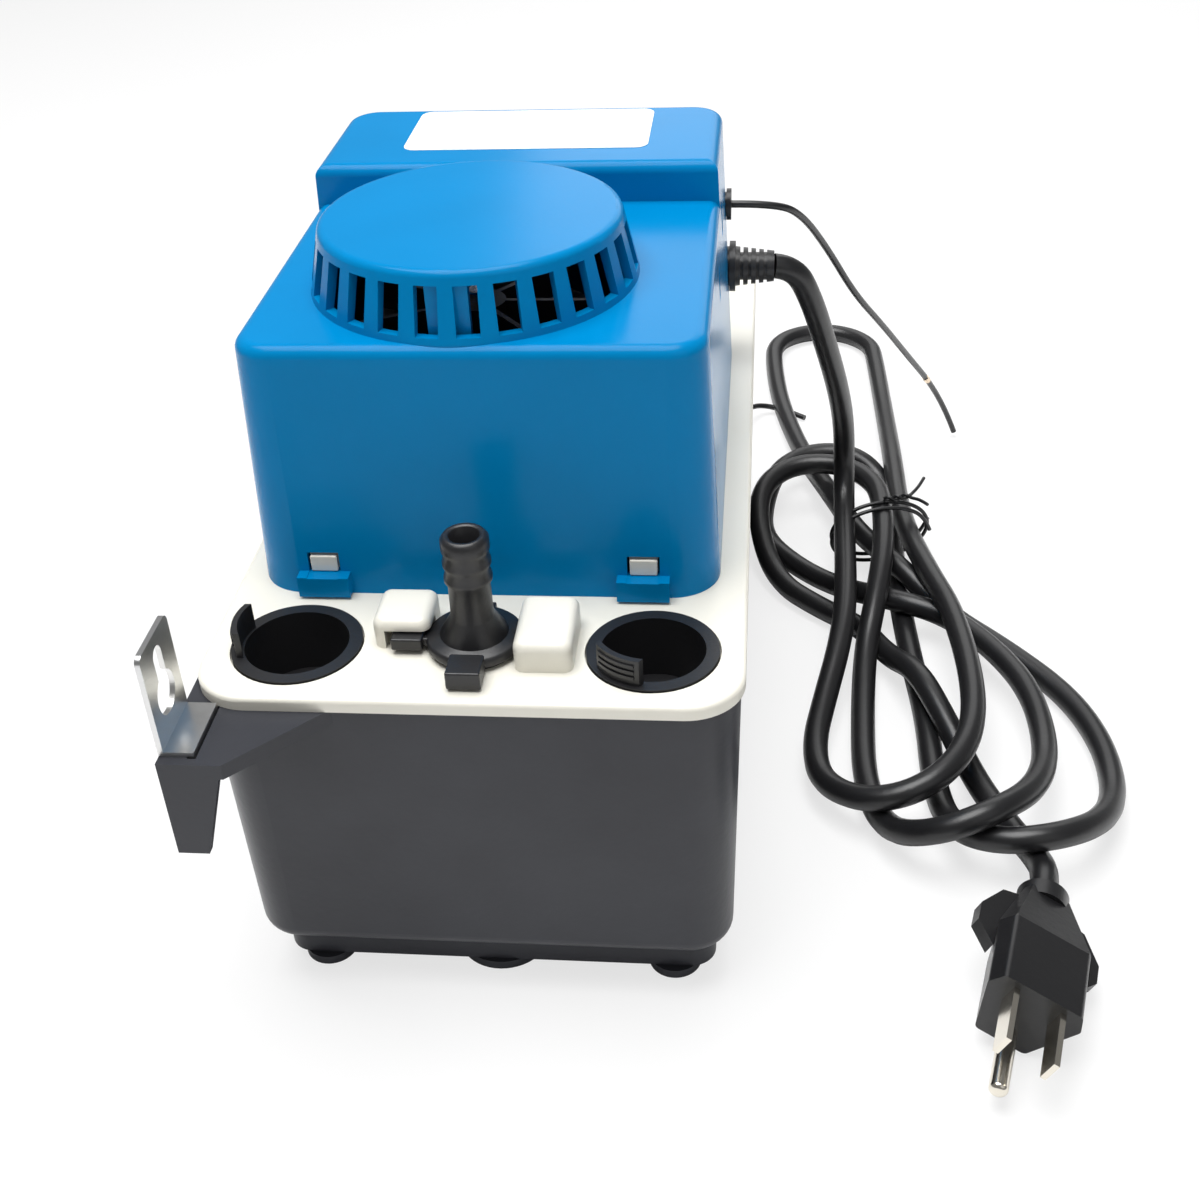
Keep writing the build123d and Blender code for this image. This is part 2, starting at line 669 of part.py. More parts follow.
# ------------------------------------------------------------------ motor
# Stator stack with salient poles, a coil on each pole, and a bearing bridge above and below.
with BuildPart() as motor_stator:
    with BuildSketch(level(motor_x, motor_y, stator_base)):
        RectangleRounded(stator_width, stator_width, motor_post_radius)
        Rectangle(stator_width - 2 * yoke_width, stator_width - 2 * yoke_width, mode=Mode.SUBTRACT)
        with PolarLocations(0, pole_count):
            with Locations((stator_width / 4, 0)):
                Rectangle(stator_width / 2 - 1, pole_width)
        Circle(stator_bore + pole_shoe)
        with PolarLocations(stator_bore + pole_shoe / 2, pole_count, start_angle=180 / pole_count):
            Rectangle(2 * pole_shoe, pole_gap, mode=Mode.SUBTRACT)
        Circle(stator_bore, mode=Mode.SUBTRACT)
        with motor_posts:
            Circle(motor_screw_radius + 0.4, mode=Mode.SUBTRACT)
    extrude(amount=stator_stack)
save(motor_stator, "motor_stator")

coil_inner = stator_bore + pole_shoe + coil_gap
coil_outer = stator_width / 2 - yoke_width - coil_gap
coil_overhang = 4.0
for number in range(pole_count):
    angle = 360 / pole_count * number
    coil_plane = Plane((motor_x, motor_y, stator_base + stator_stack / 2),
                       x_dir=Vector(0, 1, 0).rotate(Axis.Z, angle),
                       z_dir=Vector(1, 0, 0).rotate(Axis.Z, angle))
    with BuildPart() as motor_coil:
        with BuildSketch(coil_plane.offset(coil_inner)):
            RectangleRounded(pole_width + 2 * coil_side, stator_stack + 2 * coil_overhang, 2)
            Rectangle(pole_width + 2 * coil_gap, stator_stack + 2 * coil_gap, mode=Mode.SUBTRACT)
        extrude(amount=coil_outer - coil_inner)
    save(motor_coil, f"motor_coil_{number + 1}")

bearing_z = {"lower": lower_bridge_z - bearing_height + bridge_thickness, "upper": stator_top}
for place, bridge_z in (("lower", lower_bridge_z), ("upper", stator_top)):
    with BuildPart() as bearing_bridge:
        with BuildSketch(level(motor_x, motor_y, bridge_z)):
            for turn in (45, 135):
                with Locations(Location((0, 0), turn)):
                    SlotCenterToCenter(motor_screw_spacing * math.sqrt(2), bridge_width)
            Circle(bearing_radius + 3.5)
            with motor_posts:
                Circle(motor_screw_radius + 0.4, mode=Mode.SUBTRACT)
        extrude(amount=bridge_thickness)
        with BuildSketch(level(motor_x, motor_y, bearing_z[place])):
            Circle(bearing_radius + 2)
        extrude(amount=bearing_height)
        with BuildSketch(level(motor_x, motor_y, bearing_z[place])):
            Circle(bearing_radius)
        extrude(amount=bearing_height, mode=Mode.SUBTRACT)
    save(bearing_bridge, f"bearing_bridge_{place}")
    with BuildPart() as bearing:
        with BuildSketch(level(motor_x, motor_y, bearing_z[place])):
            Circle(bearing_radius)
            Circle(shaft_radius + shaft_fit, mode=Mode.SUBTRACT)
        extrude(amount=bearing_height)
    save(bearing, f"bearing_{place}")

screw_top = stator_top + bridge_thickness
with BuildPart() as motor_screws:
    with BuildSketch(level(motor_x, motor_y, screw_top)):
        with motor_posts:
            Circle(2 * motor_screw_radius)
    extrude(amount=2.4)
    with BuildSketch(level(motor_x, motor_y, screw_top)):
        with motor_posts:
            Circle(motor_screw_radius)
    extrude(amount=post_top - motor_screw_depth - screw_top)
save(motor_screws, "motor_screws")

# ------------------------------------------------------------------ rotor, fan and shaft
with BuildPart() as motor_shaft:
    with BuildSketch(level(motor_x, motor_y, shaft_bottom)):
        Circle(shaft_radius)
    extrude(amount=shaft_top - shaft_bottom)
    chamfer(motor_shaft.edges().filter_by(GeomType.CIRCLE), 0.5)
save(motor_shaft, "motor_shaft")

with BuildPart() as rotor_core:
    with BuildSketch(level(motor_x, motor_y, stator_base + rotor_end_gap)):
        Circle(stator_bore - air_gap)
        Circle(shaft_radius, mode=Mode.SUBTRACT)
    extrude(amount=stator_stack - 2 * rotor_end_gap)
save(rotor_core, "rotor_core")

with BuildPart() as cooling_fan:
    with BuildSketch(level(motor_x, motor_y, fan_base)):
        Circle(fan_hub_radius)
        Circle(shaft_radius, mode=Mode.SUBTRACT)
    extrude(amount=fan_blade_height)
    with BuildSketch(level(motor_x, motor_y, fan_base)):
        Circle(fan_radius)
        Circle(fan_hub_radius - 1, mode=Mode.SUBTRACT)
    extrude(amount=1.2)
    with BuildSketch(level(motor_x, motor_y, fan_base + 1)):
        with PolarLocations(0, fan_blades):
            with Locations(((fan_radius + fan_hub_radius) / 2 - 0.6, 0)):
                Rectangle(fan_radius - fan_hub_radius + 0.4, 1.4)
    extrude(amount=fan_blade_height - 1)
save(cooling_fan, "cooling_fan")

with BuildPart() as shaft_slinger:
    with BuildSketch(level(motor_x, motor_y, deck_top + 1)):
        Circle(slinger_radius)
        Circle(shaft_radius, mode=Mode.SUBTRACT)
    extrude(amount=1.6)
save(shaft_slinger, "shaft_slinger")

# ------------------------------------------------------------------ pump
# A column of legs under the deck carries the volute, whose scroll grows by quarter turns.
volute_top = volute_floor + volute_height
outlet_x = motor_x + scroll_radius + 3 * scroll_step - outlet_radius - volute_wall
outlet_z = volute_floor + volute_height / 2


def scroll(inset):
    """The scroll's outline: four quarter arcs, each larger than the last."""
    with BuildSketch() as outline:
        with BuildLine():
            corner_x, corner_y = scroll_step / 2, scroll_step / 2
            radius = scroll_radius - inset
            for quarter in range(4):
                CenterArc((corner_x, corner_y), radius, 90 * quarter, 90)
                radius += scroll_step
                turn = math.radians(90 * quarter + 90)
                corner_x -= scroll_step * math.cos(turn)
                corner_y -= scroll_step * math.sin(turn)
            Line((corner_x + radius, corner_y),
                 (scroll_step / 2 + scroll_radius - inset, scroll_step / 2))
        make_face()
    return outline.sketch


with BuildPart() as pump_column:
    with BuildSketch(level(motor_x, motor_y, volute_top)):
        Circle(scroll_radius)
        Circle(shaft_radius + 0.6, mode=Mode.SUBTRACT)
    extrude(amount=3)
    with BuildSketch(level(motor_x, motor_y, volute_top)):
        with PolarLocations(column_spread, 3):
            Circle(column_radius)
    extrude(amount=tank_height - volute_top)
save(pump_column, "pump_column")

with BuildPart() as volute_housing:
    with BuildSketch(level(motor_x, motor_y, volute_floor)):
        add(scroll(0))
    extrude(amount=volute_height)
    with BuildSketch(level(motor_x, motor_y, volute_floor)):
        add(scroll(volute_wall))
    extrude(amount=volute_height - volute_wall, mode=Mode.SUBTRACT)
    with Locations((motor_x, motor_y, volute_top)):
        Hole(shaft_radius + 0.6)
    # The outlet leaves the scroll along -Y.
    with BuildSketch(Plane.XZ.offset(-motor_y + 18)):
        with Locations((outlet_x, outlet_z)):
            Circle(outlet_radius + volute_wall)
    extrude(amount=14)
    with BuildSketch(Plane.XZ.offset(-motor_y + 8)):
        with Locations((outlet_x, outlet_z)):
            Circle(outlet_radius)
    extrude(amount=24, mode=Mode.SUBTRACT)
    with BuildSketch(level(motor_x, motor_y, volute_floor)):
        add(scroll(volute_wall))
    extrude(amount=volute_height - volute_wall, mode=Mode.SUBTRACT)
save(volute_housing, "volute_housing")

with BuildPart() as volute_plate:
    with BuildSketch(level(motor_x, motor_y, volute_floor)):
        add(scroll(0))
        Circle(eye_radius, mode=Mode.SUBTRACT)
    extrude(amount=-2)
    # Three feet hold the suction eye off the tank's floor.
    with BuildSketch(level(motor_x, motor_y, volute_floor - 2)):
        with PolarLocations(scroll_radius - 5, 3, start_angle=60):
            Circle(3)
    extrude(amount=foot_height + tank_wall - volute_floor + 2)
save(volute_plate, "volute_plate")

with BuildPart() as impeller:
    with BuildSketch(level(motor_x, motor_y, volute_top - volute_wall - impeller_gap)):
        Circle(impeller_radius)
        Circle(shaft_radius, mode=Mode.SUBTRACT)
    extrude(amount=-1.6)
    with BuildSketch(level(motor_x, motor_y, volute_floor + impeller_gap)):
        Circle(shaft_radius + 2)
        Circle(shaft_radius, mode=Mode.SUBTRACT)
        with PolarLocations(0, impeller_blades):
            with BuildLine():
                blade = ThreePointArc((shaft_radius + 1, 0), (impeller_radius * 0.6, 2.5), (impeller_radius, 8))
                offset(blade, amount=0.8, side=Side.BOTH)
            make_face()
        Circle(shaft_radius, mode=Mode.SUBTRACT)
        Circle(impeller_radius, mode=Mode.INTERSECT)
    extrude(amount=volute_height - volute_wall - 2 * impeller_gap - 1.6)
save(impeller, "impeller")

# ------------------------------------------------------------------ tubes and cords


def tube(route, radius, bore=0.0):
    """A tube along straight runs joined by tangent arcs, as large as the runs allow."""
    radii = []
    for before, here, after in zip(route, route[1:], route[2:]):
        run_in, run_out = Vector(here) - Vector(before), Vector(after) - Vector(here)
        half_turn = math.radians(run_in.get_angle(run_out)) / 2
        radii.append(0.45 * min(run_in.length, run_out.length) / math.tan(half_turn))
    with BuildPart() as sweep_part:
        with BuildLine() as path:
            FilletPolyline(*route, radius=radii)
        with BuildSketch(Plane(route[0], z_dir=Vector(route[1]) - Vector(route[0]))):
            Circle(radius)
            if bore:
                Circle(bore, mode=Mode.SUBTRACT)
        sweep(path=path.line)
    return sweep_part


outlet_face_y = motor_y - 32
socket_bottom = tank_height - valve_stem_length - 2
discharge_route = [(outlet_x, outlet_face_y, outlet_z), (outlet_x, valve_y + 8, outlet_z),
                   (valve_x, valve_y, outlet_z + 22), (valve_x, valve_y, socket_bottom)]
discharge_tube = tube(discharge_route, outlet_radius + volute_wall, outlet_radius)
save(discharge_tube, "discharge_tube")

# ------------------------------------------------------------------ float, arm and switches
with BuildPart() as float_block:
    with BuildSketch(level(0, float_y, float_top)):
        RectangleRounded(float_length, float_width, float_corner)
    extrude(amount=-float_depth)
    fillet(float_block.faces().sort_by(Axis.Z)[0].edges(), 4)
    fillet(float_block.faces().sort_by(Axis.Z)[-1].edges(), 2)
save(float_block, "float_block")

head_z = arm_finger_top - 4
head_radius = 2.5
with BuildPart() as float_arm:
    with BuildSketch(Plane.YZ.offset(-arm_width / 2)):
        with Locations((pivot_y, pivot_z)):
            Circle(2.2 * pivot_radius)
        with BuildLine():
            Polyline((pivot_y - 2, pivot_z), (pivot_y + 2, pivot_z - 4), (float_y - 22, float_top),
                     (float_y + 24, float_top), (float_y + 24, float_top + 3),
                     (float_y - 18, float_top + 3), (pivot_y + 3, pivot_z + 2), close=True)
        make_face()
        with Locations((pivot_y, (pivot_z + head_z) / 2)):
            Rectangle(3, head_z - pivot_z)
        with Locations((pivot_y, pivot_z)):
            Circle(pivot_radius + shaft_fit, mode=Mode.SUBTRACT)
    extrude(amount=arm_width)
    with BuildSketch(Plane.YZ.offset(-switch_spacing / 2 - 4)):
        with Locations((pivot_y, head_z)):
            Circle(head_radius)
    extrude(amount=switch_spacing + 8)
save(float_arm, "float_arm")

with BuildPart() as float_pivot_pin:
    with BuildSketch(Plane.YZ.offset(-arm_width / 2 - 5)):
        with Locations((pivot_y, pivot_z)):
            Circle(pivot_radius)
    extrude(amount=arm_width + 10)
save(float_pivot_pin, "float_pivot_pin")

lever_y = pivot_y - head_radius - lever_gap - lever_thickness / 2
switch_front_y = lever_y - 8.0
switch_back_y = switch_front_y - switch_length + 4
switch_base = lever_pivot_z - 20
lever_pin_radius = 1.0
lever_width = 5.0
for name, x in (("run", -switch_spacing / 2), ("alarm", switch_spacing / 2)):
    with BuildPart() as switch:
        with BuildSketch(Plane.YZ.offset(x - switch_width / 2)):
            with Locations(((switch_front_y + switch_back_y) / 2, switch_base + switch_height / 2)):
                RectangleRounded(switch_front_y - switch_back_y, switch_height, 1)
        extrude(amount=switch_width)
        # Two cheeks carry the lever's pin.
        for side in (-1, 1):
            with BuildSketch(Plane.YZ.offset(x + side * (lever_width / 2 + 0.4))):
                with BuildLine():
                    Polyline((switch_front_y - 4, switch_base + switch_height - 4), (lever_y + 3, lever_pivot_z - 3),
                             (lever_y + 3, lever_pivot_z + 3), (switch_front_y - 4, lever_pivot_z + 3),
                             close=True)
                make_face()
            extrude(amount=side * 1.2)
        with BuildSketch(Plane.YZ.offset(x - lever_width / 2 - 1)):
            with Locations((lever_y, lever_pivot_z)):
                Circle(lever_pin_radius)
        extrude(amount=lever_width + 2)
    save(switch, f"{name}_switch")
    with BuildPart() as lever:
        with BuildSketch(Plane.YZ.offset(x - lever_width / 2)):
            with Locations((lever_y, lever_pivot_z)):
                Circle(2 * lever_pin_radius)
            with Locations((lever_y, lever_pivot_z - lever_length / 2)):
                Rectangle(lever_thickness, lever_length)
            with Locations((lever_y, lever_pivot_z)):
                Circle(lever_pin_radius + shaft_fit, mode=Mode.SUBTRACT)
        extrude(amount=lever_width)
    save(lever, f"{name}_switch_lever")

with BuildPart() as switch_bracket:
    with BuildSketch(Plane.YZ.offset(-switch_spacing)):
        with BuildLine():
            Polyline((switch_back_y - 1.2, deck_top), (switch_back_y + 9, deck_top),
                     (switch_back_y + 9, deck_top + 1.2), (switch_back_y, deck_top + 1.2),
                     (switch_back_y, switch_base + switch_height),
                     (switch_back_y - 1.2, switch_base + switch_height), close=True)
        make_face()
    extrude(amount=2 * switch_spacing)
save(switch_bracket, "switch_bracket")

# ------------------------------------------------------------------ wall brackets
bracket_y = ear_y - ear_plate - bracket_gap - bracket_width / 2
keyhole_z = tank_height + keyhole_height
for name, side in (("front", -1), ("rear", 1)):
    with BuildPart() as wall_bracket:
        with BuildSketch(Plane.XZ.offset(-side * bracket_y - bracket_width / 2)):
            with BuildLine():
                Polyline((ear_side_x, tank_height), (slot_x - bracket_thickness, tank_height),
                         (slot_x - bracket_thickness, tank_height - bracket_leg),
                         (slot_x, tank_height - bracket_leg), (slot_x, tank_height + bracket_thickness),
                         (ear_side_x + bracket_thickness, tank_height + bracket_thickness),
                         (ear_side_x + bracket_thickness, tank_height + bracket_height),
                         (ear_side_x, tank_height + bracket_height), close=True)
            make_face()
        extrude(amount=bracket_width)
        with BuildSketch(Plane.YZ.offset(ear_side_x)):
            with Locations((side * bracket_y, keyhole_z)):
                Circle(keyhole_radius)
            with Locations((side * bracket_y, keyhole_z + keyhole_rise / 2)):
                Rectangle(2 * keyhole_slot_radius, keyhole_rise)
            with Locations((side * bracket_y, keyhole_z + keyhole_rise)):
                Circle(keyhole_slot_radius)
        extrude(amount=bracket_thickness, mode=Mode.SUBTRACT)
        corners = wall_bracket.edges().filter_by(Axis.X).group_by(Axis.Z)[-1]
        fillet(corners, 2)
    save(wall_bracket, f"wall_bracket_{name}")

# ------------------------------------------------------------------ cord, leads and plug
wall_run = math.tan(math.radians(cover_draft))
cord_wall_x = cover_x + cover_width / 2 - (cord_exit_z - deck_top) * wall_run
lead_wall_x = cover_x + cover_width / 2 - (lead_exit_z - deck_top) * wall_run
relief_end_x = cord_wall_x + relief_length
with BuildPart() as strain_relief:
    with BuildSketch(Plane.XY.offset(cord_exit_z)):
        with BuildLine():
            Polyline((cord_wall_x - relief_inside, cord_exit_y),
                     (cord_wall_x - relief_inside, cord_exit_y + relief_body_radius),
                     (cord_wall_x + 0.4, cord_exit_y + relief_body_radius),
                     (cord_wall_x + 0.4, cord_exit_y + relief_flange_radius),
                     (cord_wall_x + 2.2, cord_exit_y + relief_flange_radius),
                     (cord_wall_x + 2.2, cord_exit_y + relief_body_radius),
                     (relief_end_x, cord_exit_y + cord_radius + 0.8), (relief_end_x, cord_exit_y), close=True)
        make_face()
    revolve(axis=Axis((0, cord_exit_y, cord_exit_z), (1, 0, 0)))
    for groove in range(relief_grooves):
        with BuildSketch(Plane.YZ.offset(cord_wall_x + 3.6 + 2.4 * groove)):
            with Locations((cord_exit_y, cord_exit_z)):
                Circle(relief_flange_radius)
                Circle(cord_radius + 0.4, mode=Mode.SUBTRACT)
        extrude(amount=1.0, mode=Mode.SUBTRACT)
save(strain_relief, "strain_relief")

with BuildPart() as lead_bushing:
    with BuildSketch(Plane.YZ.offset(lead_wall_x - 4)):
        with Locations((lead_exit_y, lead_exit_z)):
            Circle(bushing_radius)
    extrude(amount=5)
    with BuildSketch(Plane.YZ.offset(lead_wall_x + 0.3)):
        with Locations((lead_exit_y, lead_exit_z)):
            Circle(bushing_radius + 1)
    extrude(amount=1.4)
save(lead_bushing, "lead_bushing")
lead_start_x = lead_wall_x + 1.7

# The cord is folded to and fro into a tied hank: three lobes to the front, three to the back.
tie_x = deck_width / 2 + tie_side_gap
with BuildPart() as power_cord_hank:
    for heading, length, half_width in hank_lobes:
        turn = math.radians(heading)
        end_x = tie_x + (length - half_width) * math.cos(turn)
        end_y = tie_y + (length - half_width) * math.sin(turn)
        with BuildSketch(Plane.XY.offset(hank_floor_gap)):
            with BuildSketch(mode=Mode.PRIVATE) as lobe:
                with Locations((tie_x, tie_y)):
                    Circle(hank_waist_radius)
                with Locations((end_x, end_y)):
                    Circle(half_width)
                make_hull()
            add(lobe.sketch)
        extrude(amount=hank_height - hank_floor_gap)
    split(bisect_by=Plane.XZ.offset(-hank_front_y), keep=Keep.BOTTOM)
save(power_cord_hank, "power_cord_hank")

run_route = [(relief_end_x, cord_exit_y, cord_exit_z)]
run_route += [(relief_end_x + across, cord_exit_y + along, share * cord_exit_z)
              for across, along, share in run_steps]
power_cord_run = tube(run_route, cord_radius)
with BuildPart() as power_cord_run_cut:
    add(power_cord_run.part)
    split(bisect_by=Plane.XY.offset(hank_height), keep=Keep.TOP)
save(power_cord_run_cut, "power_cord_run")

plug_neck = Vector(deck_width / 2 + plug_side_gap, plug_y, plug_z)
plug_z_dir = Vector(math.cos(math.radians(plug_heading)), math.sin(math.radians(plug_heading)), 0)
tail_start_z = hank_height / 2
tail_route = [(plug_neck.X, hank_front_y, tail_start_z), (plug_neck.X, hank_front_y - 9, tail_start_z),
              plug_neck - plug_lead_in * plug_z_dir, plug_neck]
power_cord_tail = tube(tail_route, cord_radius)
save(power_cord_tail, "power_cord_tail")

plug_side_dir = Vector(-plug_z_dir.Y, plug_z_dir.X, 0)
plug_roll = math.radians(plug_turn)
plug_x_dir = plug_side_dir * math.cos(plug_roll) - Vector(0, 0, 1) * math.sin(plug_roll)
plug_plane = Plane(plug_neck, x_dir=plug_x_dir, z_dir=plug_z_dir)
with BuildPart() as plug_body:
    # The body grows from its collar to a six-sided block with a flat face.
    with BuildSketch(plug_plane):
        Circle(plug_collar_radius)
    extrude(amount=plug_collar_length)
    with BuildSketch(plug_plane.offset(plug_collar_length / 2)):
        Polygon(*[(plug_neck_share * x, plug_neck_share * y) for x, y in plug_face], align=None)
    with BuildSketch(plug_plane.offset(plug_shoulder * plug_length)):
        Polygon(*plug_face, align=None)
    loft(ruled=True)
    with BuildSketch(plug_plane.offset(plug_shoulder * plug_length)):
        Polygon(*plug_face, align=None)
    extrude(amount=(1 - plug_shoulder) * plug_length)
    fillet(plug_body.edges().filter_by(Axis(plug_neck, plug_z_dir)).sort_by(Edge.length)[-6:], plug_round)
    # Two flat wings give a grip.
    for side in (-1, 1):
        with BuildSketch(Plane(plug_neck, x_dir=plug_x_dir, z_dir=plug_z_dir.cross(plug_x_dir))) as wing:
            Polygon(*[(side * x, -z) for x, z in wing_outline], align=None)
        extrude(amount=wing_thickness / 2, both=True)
save(plug_body, "plug_body")

with BuildPart() as plug_blades:
    with BuildSketch(plug_plane.offset(plug_length)):
        with Locations((-blade_spacing / 2, blade_y), (blade_spacing / 2, blade_y)):
            Rectangle(blade_thickness, blade_width)
    extrude(amount=blade_length)
save(plug_blades, "plug_blades")

with BuildPart() as plug_ground_pin:
    with BuildSketch(plug_plane.offset(plug_length)):
        with Locations((0, blade_y - pin_drop)):
            Circle(pin_radius)
    extrude(amount=pin_length)
    fillet(plug_ground_pin.faces().sort_by(Axis(plug_neck, plug_z_dir))[-1].edges(), 1.5)
save(plug_ground_pin, "plug_ground_pin")

with BuildPart() as cord_tie:
    with BuildSketch(Plane.XY.offset(hank_height + tie_thickness)):
        with Locations((tie_x, tie_y)):
            RectangleRounded(26, 5, 1)
    extrude(amount=-tie_thickness)
save(cord_tie, "cord_tie")

long_lead_route = [(lead_start_x, lead_exit_y, lead_exit_z)]
long_lead_route += [(lead_start_x + across, lead_exit_y + along, share * lead_exit_z)
                    for across, along, share in long_lead_steps]
save(tube(long_lead_route, lead_radius), "lead_wire_long")

short_wall_y = cover_back_y - (short_exit_z - deck_top) * wall_run
with BuildPart() as lead_bushing_rear:
    with BuildSketch(Plane.XZ.offset(-short_wall_y + 4)):
        with Locations((short_exit_x, short_exit_z)):
            Circle(bushing_radius)
    extrude(amount=-5)
    with BuildSketch(Plane.XZ.offset(-short_wall_y - 0.3)):
        with Locations((short_exit_x, short_exit_z)):
            Circle(bushing_radius + 1)
    extrude(amount=-1.4)
save(lead_bushing_rear, "lead_bushing_rear")
short_lead_route = [(short_exit_x, short_wall_y + 1.7, short_exit_z)]
short_lead_route += [(short_exit_x + across, short_wall_y + along, share * short_exit_z)
                     for across, along, share in short_lead_steps]
save(tube(short_lead_route, lead_radius), "lead_wire_short")
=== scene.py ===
import bpy
import bmesh
import math
from mathutils import Matrix, Vector


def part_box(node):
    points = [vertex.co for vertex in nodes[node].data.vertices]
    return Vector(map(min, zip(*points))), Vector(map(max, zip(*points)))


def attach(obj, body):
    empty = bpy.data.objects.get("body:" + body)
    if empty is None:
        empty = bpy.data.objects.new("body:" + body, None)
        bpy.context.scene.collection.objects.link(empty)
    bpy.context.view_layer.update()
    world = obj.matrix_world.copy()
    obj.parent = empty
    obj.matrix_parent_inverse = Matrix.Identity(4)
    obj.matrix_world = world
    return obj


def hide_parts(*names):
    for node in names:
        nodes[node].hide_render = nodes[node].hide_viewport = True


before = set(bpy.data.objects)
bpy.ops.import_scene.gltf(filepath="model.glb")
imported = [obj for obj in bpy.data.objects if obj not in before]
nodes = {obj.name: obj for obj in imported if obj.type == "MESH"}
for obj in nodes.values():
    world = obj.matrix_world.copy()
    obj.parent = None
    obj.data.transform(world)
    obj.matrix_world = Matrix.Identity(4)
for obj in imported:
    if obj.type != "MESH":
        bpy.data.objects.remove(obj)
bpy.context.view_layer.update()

# ------------------------------------------------------------------ camera
# The view looks down on the front of the pump from a little to its cord side,
# with a slight roll.
camera_data = bpy.data.cameras.new("camera")
camera = bpy.data.objects.new("camera", camera_data)
bpy.context.collection.objects.link(camera)
bpy.context.scene.camera = camera
camera_place = Vector((0.0673, -0.4002, 0.3179))
camera_yaw, camera_pitch, camera_roll = 0.123, 0.6057, -0.0539
camera_data.sensor_width = 36.0
camera_data.lens = 46.6
camera_data.clip_start = 0.01
turn = (Matrix.Rotation(camera_yaw, 4, "Z") @ Matrix.Rotation(math.pi / 2 - camera_pitch, 4, "X")
        @ Matrix.Rotation(camera_roll, 4, "Z"))
camera.matrix_world = Matrix.Translation(camera_place) @ turn

# ------------------------------------------------------------------ floor and light
# A pale seamless floor that reads white to the camera and keeps the pump's soft shadow,
# under an even white sky.
scene = bpy.context.scene
scene.view_settings.view_transform = "Standard"
world = bpy.data.worlds.new("studio")
scene.world = world
world.use_nodes = True
sky = world.node_tree
sky_background = sky.nodes["Background"]
sky_background.inputs["Color"].default_value = (1.0, 1.0, 1.0, 1.0)
sky_background.inputs["Strength"].default_value = 0.23
sky_white = sky.nodes.new("ShaderNodeBackground")
sky_white.inputs["Color"].default_value = (1.0, 1.0, 1.0, 1.0)
sky_white.inputs["Strength"].default_value = 1.0
sky_path = sky.nodes.new("ShaderNodeLightPath")
sky_mix = sky.nodes.new("ShaderNodeMixShader")
sky.links.new(sky_path.outputs["Is Camera Ray"], sky_mix.inputs[0])
sky.links.new(sky_background.outputs[0], sky_mix.inputs[1])
sky.links.new(sky_white.outputs[0], sky_mix.inputs[2])
sky.links.new(sky_mix.outputs[0], sky.nodes["World Output"].inputs["Surface"])

floor_mesh = bpy.data.meshes.new("floor")
floor_size = 3.0
floor_mesh.from_pydata([(-floor_size, -floor_size, 0), (floor_size, -floor_size, 0),
                        (floor_size, floor_size, 0), (-floor_size, floor_size, 0)], [], [(0, 1, 2, 3)])
floor = bpy.data.objects.new("floor", floor_mesh)
bpy.context.collection.objects.link(floor)
floor.location.z = -0.0004
# The camera sees the floor mostly as plain white, with a soft shadow left in it.
floor_paint = bpy.data.materials.new("floor_paint")
floor_paint.use_nodes = True
floor_tree = floor_paint.node_tree
floor_shader = floor_tree.nodes["Principled BSDF"]
floor_shader.inputs["Base Color"].default_value = (0.93, 0.93, 0.93, 1)
floor_shader.inputs["Roughness"].default_value = 0.8
floor_white = floor_tree.nodes.new("ShaderNodeEmission")
floor_white.inputs["Strength"].default_value = 1.0
floor_path = floor_tree.nodes.new("ShaderNodeLightPath")
floor_share = floor_tree.nodes.new("ShaderNodeMath")
floor_share.operation = "MULTIPLY"
floor_share.inputs[1].default_value = 0.72
floor_mix = floor_tree.nodes.new("ShaderNodeMixShader")
floor_tree.links.new(floor_path.outputs["Is Camera Ray"], floor_share.inputs[0])
floor_tree.links.new(floor_share.outputs[0], floor_mix.inputs[0])
floor_tree.links.new(floor_shader.outputs[0], floor_mix.inputs[1])
floor_tree.links.new(floor_white.outputs[0], floor_mix.inputs[2])
floor_tree.links.new(floor_mix.outputs[0], floor_tree.nodes["Material Output"].inputs["Surface"])
floor.data.materials.append(floor_paint)

# ------------------------------------------------------------------ lamps
# A large soft lamp overhead gives the level, a weak one at the front opens the shadows,
# and one behind lifts the rear edges.
def lamp(name, place, target, power, size):
    """A square soft lamp that faces a point."""
    data = bpy.data.lights.new(name, "AREA")
    data.energy = power
    data.size = size
    lamp_object = bpy.data.objects.new(name, data)
    lamp_object.location = place
    lamp_object.rotation_euler = (Vector(target) - Vector(place)).to_track_quat("-Z", "Y").to_euler()
    bpy.context.collection.objects.link(lamp_object)


lamp("key", (-0.1, -0.05, 1.2), (0.0, 0.0, 0.1), 20.5, 0.9)
lamp("fill", (0.7, -0.9, 0.8), (0.05, 0.0, 0.08), 1.2, 0.9)
lamp("back", (0.2, 1.0, 0.7), (0.0, 0.0, 0.1), 3.0, 0.8)

